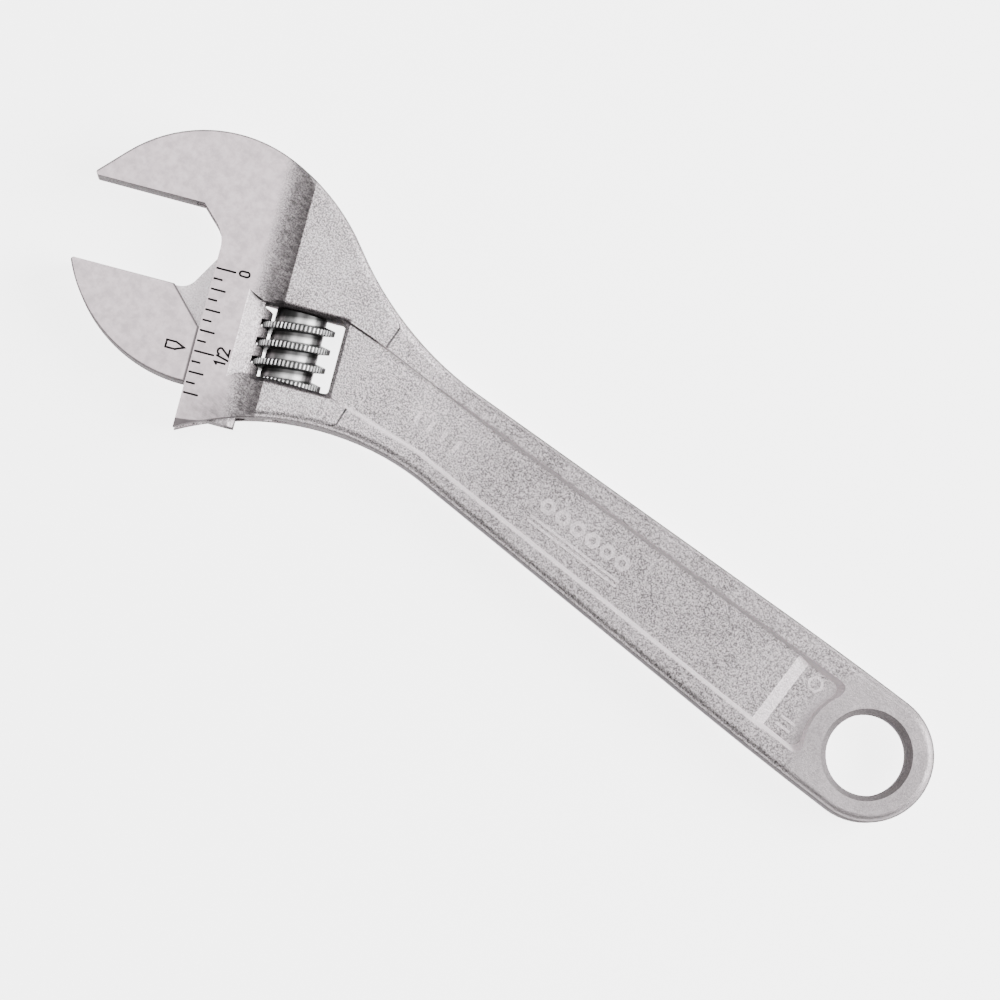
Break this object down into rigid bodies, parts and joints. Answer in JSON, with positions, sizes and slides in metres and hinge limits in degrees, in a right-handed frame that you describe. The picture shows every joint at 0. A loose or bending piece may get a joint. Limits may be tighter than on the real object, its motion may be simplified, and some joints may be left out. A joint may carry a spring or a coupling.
{
  "type": "adjustable wrench",
  "caption": "Adjustable wrench with a fixed jaw, a sliding jaw driven by a knurled worm, a recessed handle and a hang hole.",
  "frame": {"origin": "centre of the hang hole at mid thickness", "axes": "+X along the handle towards the jaws, +Z through the thickness towards the face that carries the scale"},
  "size_m": [0.1531, 0.0423, 0.0112],
  "materials": {
    "body_chrome": "satin chrome over a fine blasted grain, with ground and polished head faces",
    "jaw_chrome": "satin chrome, ground faces",
    "worm_chrome": "polished chrome, serrated crest",
    "pin_steel": "turned steel",
    "spring_steel": "drawn spring wire"
  },
  "bodies": {
    "handle": {"body": "body_chrome", "worm_pin": "pin_steel", "spring": "spring_steel"},
    "jaw": {"movable_jaw": "jaw_chrome"},
    "screw": {"worm": "worm_chrome"}
  },
  "joints": [
    {"name": "jaw_slide", "type": "slide", "parent": "handle", "child": "jaw", "axis": [-0.3827, 0.9239, 0], "range_m": [-0.01265, 0.0111]},
    {"name": "worm_spin", "type": "hinge", "parent": "handle", "child": "screw", "pos_m": [0.10395, 0.00355, 0], "axis": [-0.3827, 0.9239, 0], "range_deg": [-1420, 1618]}
  ],
  "couplings": [
    {"joint": "worm_spin", "follows": "jaw_slide", "rad_per_m": -2228.1}
  ]
}
